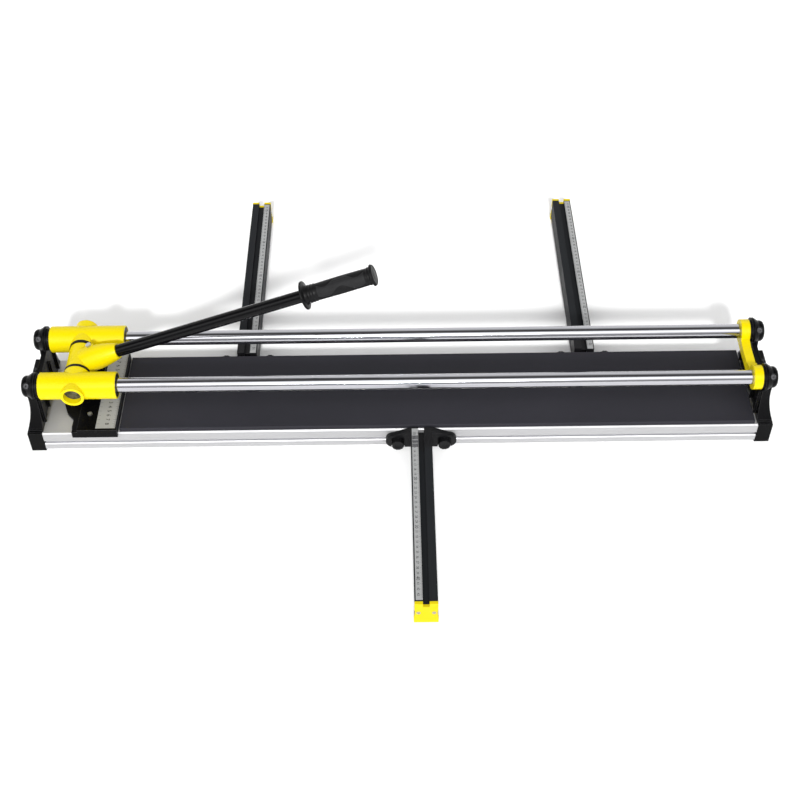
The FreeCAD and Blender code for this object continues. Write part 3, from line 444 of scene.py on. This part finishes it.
# ring, end rim and dished end face: (distance back from the grip's end, radius)
RIM_ROWS = (
    (11.0, 14.0), (10.0, 14.9), (8.4, 15.0), (7.4, 14.1), (6.2, 14.2),
    (5.3, 15.4), (4.8, 17.3), (4.0, 18.2), (2.6, 17.7), (1.1, 17.1),
    (0.3, 16.2), (0.0, 15.0), (0.5, 13.6), (0.5, 9.0), (0.2, 8.0), (0.2, 3.0),
)
BODY_START = GRIP_START + 24.0
BODY_END = GRIP_END - 12.0
BODY_RADIUS = 14.2
BODY_BULGE = 0.5
END_WALL = 3.0

# two wavy panels opposite each other, with a groove round them and diamonds in them
PANEL_START = GRIP_START + 26.0
PANEL_LENGTH = GRIP_END - GRIP_START - 40.0
PANEL_MIDDLE = math.radians(134)
PANEL_DRIFT = 0.45
PANEL_WAVES = 1.5
PANEL_COUNT = 2
PANEL_NARROWING = 0.1
PANEL_END_SLOPE = 12
PANEL_EDGE = 0.12
GROOVE_WIDTH = 0.25
GROOVE_DEPTH = 0.6
DIAMOND_HEIGHT = 0.55
DIAMOND_COUNT = 12
DIAMOND_PITCH = 0.9
CREASE = 50.0


def grip_panel(x, angle):
    """How far a point of the grip lies inside a wavy panel: above 0 in it, 0 on its edge."""
    along = (x - PANEL_START) / PANEL_LENGTH
    if not 0 < along < 1:
        return -1.0
    drift = PANEL_DRIFT * math.sin(2 * math.pi * PANEL_WAVES * along)
    band = math.cos(PANEL_COUNT * (angle - PANEL_MIDDLE - drift))
    ends = PANEL_END_SLOPE * min(along, 1 - along)
    return min(band - PANEL_NARROWING, ends)


def grip_relief(x, angle):
    """Groove round each wavy panel and a fine diamond pattern in it."""
    inside = grip_panel(x, angle)
    groove = max(0.0, 1.0 - abs(inside) / GROOVE_WIDTH)
    field = max(0.0, min(1.0, 3.0 * inside - 0.75))
    around = DIAMOND_COUNT * angle
    slant = x * DIAMOND_PITCH
    diamond = math.sin(around + slant) * math.sin(around - slant)
    return DIAMOND_HEIGHT * field * max(0.0, diamond) - GROOVE_DEPTH * groove


def grip():
    """Rubber grip: dished hand flange, ringed neck, patterned body and an end rim."""
    rows = [(GRIP_START + x, radius) for x, radius in NECK_ROWS]
    length = int(BODY_END - BODY_START)
    for step in range(length + 1):
        bulge = BODY_BULGE * math.sin(math.pi * step / length)
        rows.append((BODY_START + step, BODY_RADIUS + bulge))
    rows += [(GRIP_END - x, radius) for x, radius in RIM_ROWS]
    work = bmesh.new()
    rings = lathe(work, rows, GRIP_SIDES, grip_relief)
    work.faces.new(rings[-1])
    inner = [work.verts.new((GRIP_END - END_WALL, v.co.y, v.co.z)) for v in rings[0]]
    for index, vertex in enumerate(rings[0]):
        after = (index + 1) % len(inner)
        work.faces.new((vertex, inner[index], inner[after], rings[0][after]))
    work.faces.new(inner)
    bmesh.ops.recalc_face_normals(work, faces=work.faces)
    mesh = bpy.data.meshes.new("grip")
    work.to_mesh(mesh)
    work.free()
    smooth(mesh, CREASE)
    for face in mesh.polygons:
        place = face.center
        inside = grip_panel(place.x, math.atan2(place.z, place.y))
        face.material_index = int(inside > PANEL_EDGE)
    to_lever(mesh)
    made = settle("grip_rubber", mesh, FINISHES["black_rubber"], "lever")
    mesh.materials.append(FINISHES["grip_panel"])
    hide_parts("handle_grip")


grip()


# ------------------------------------------------------------------ studio


def studio_floor():
    """Plain pale floor under the object."""
    bpy.ops.mesh.primitive_plane_add(size=40.0)
    floor = bpy.context.object
    floor.name = "floor"
    material = bpy.data.materials.new("floor")
    material.use_nodes = True
    tree = material.node_tree
    shader = tree.nodes["Principled BSDF"]
    where = add(tree, "TexCoord").outputs["Object"]
    cloud = add(tree, "TexNoise", {"Vector": where, "Scale": 3.0}).outputs["Fac"]
    tone = ramp(tree, cloud, ((0.0, 0.93), (1.0, 0.96)))
    tree.links.new(tone, shader.inputs["Base Color"])
    shader.inputs["Roughness"].default_value = 0.9
    shader.inputs["Specular IOR Level"].default_value = 0.1
    floor.data.materials.append(material)
    return floor


SKY_STRENGTH = 2.2
# (degrees above the horizon in front, grey), from below round to behind and below again
SKY_BANDS = (
    (-180, 0.36), (-92, 0.36), (-84, 0.44), (-46, 0.48), (-32, 0.34), (-16, 0.07), (0, 0.03),
    (12, 0.06), (22, 0.40), (28, 1.0), (46, 1.0), (56, 0.60), (66, 0.21), (88, 0.19), (93, 0.36),
    (180, 0.36),
)


def sky():
    """Pale surroundings with soft bands that run along the rails, like studio panels."""
    world = bpy.data.worlds.new("studio")
    scene.world = world
    world.use_nodes = True
    tree = world.node_tree
    way = add(tree, "TexCoord").outputs["Generated"]
    parts = add(tree, "SeparateXYZ", {"Vector": way}).outputs
    front = add(tree, "Math", {0: parts["Y"], 1: -1.0}, operation="MULTIPLY").outputs["Value"]
    angle = add(tree, "Math", {0: front, 1: parts["Z"]}, operation="ARCTAN2").outputs["Value"]
    share = remap(tree, angle, -math.pi, math.pi, 0.0, 1.0)
    stops = [(0.5 + degrees / 360.0, grey) for degrees, grey in SKY_BANDS]
    tone = ramp(tree, share, stops)
    background = tree.nodes["Background"]
    tree.links.new(tone, background.inputs["Color"])
    background.inputs["Strength"].default_value = SKY_STRENGTH


def sun(name, towards, spread, power, only=None):
    """Distant soft light coming from a direction, for one object alone where that is given."""
    light = bpy.data.lights.new(name, "SUN")
    light.angle = math.radians(spread)
    light.energy = power
    lamp = bpy.data.objects.new(name, light)
    scene.collection.objects.link(lamp)
    lamp.rotation_euler = Vector(towards).to_track_quat("Z", "Y").to_euler()
    if only:
        lit = bpy.data.collections.new(name)
        lit.objects.link(only)
        lamp.light_linking.receiver_collection = lit


CAMERA_PLACE = (-0.0069, -1.585, 1.675)
# to the right, downwards and round its own axis, in degrees
CAMERA_TURNS = (0.25, 46.23, -0.54)
CAMERA_LENS = 58.5


def camera():
    """Camera above and in front, looking steeply down at the object."""
    yaw, pitch, roll = (math.radians(angle) for angle in CAMERA_TURNS)
    flat = math.cos(pitch)
    ahead = Vector((math.sin(yaw) * flat, math.cos(yaw) * flat, -math.sin(pitch)))
    level = Vector((math.cos(yaw), -math.sin(yaw), 0.0))
    up = level.cross(ahead)
    right = level * math.cos(roll) + up * math.sin(roll)
    up = right.cross(ahead)
    lens = bpy.data.cameras.new("camera")
    lens.sensor_width = 36.0
    lens.lens = CAMERA_LENS
    lens.clip_start = 0.05
    lens.clip_end = 100.0
    holder = bpy.data.objects.new("camera", lens)
    scene.collection.objects.link(holder)
    axes = Matrix((right, up, -ahead)).transposed().to_4x4()
    holder.matrix_world = Matrix.Translation(CAMERA_PLACE) @ axes
    scene.camera = holder


LIGHT_FROM = (-0.02, -1.45, 1.0)
LIGHT_SPREAD = 5.0

ground = studio_floor()
sky()
sun("key", LIGHT_FROM, LIGHT_SPREAD, 1.85)
sun("floor_key", LIGHT_FROM, LIGHT_SPREAD, 1.6, ground)
camera()
scene.view_settings.view_transform = "Standard"
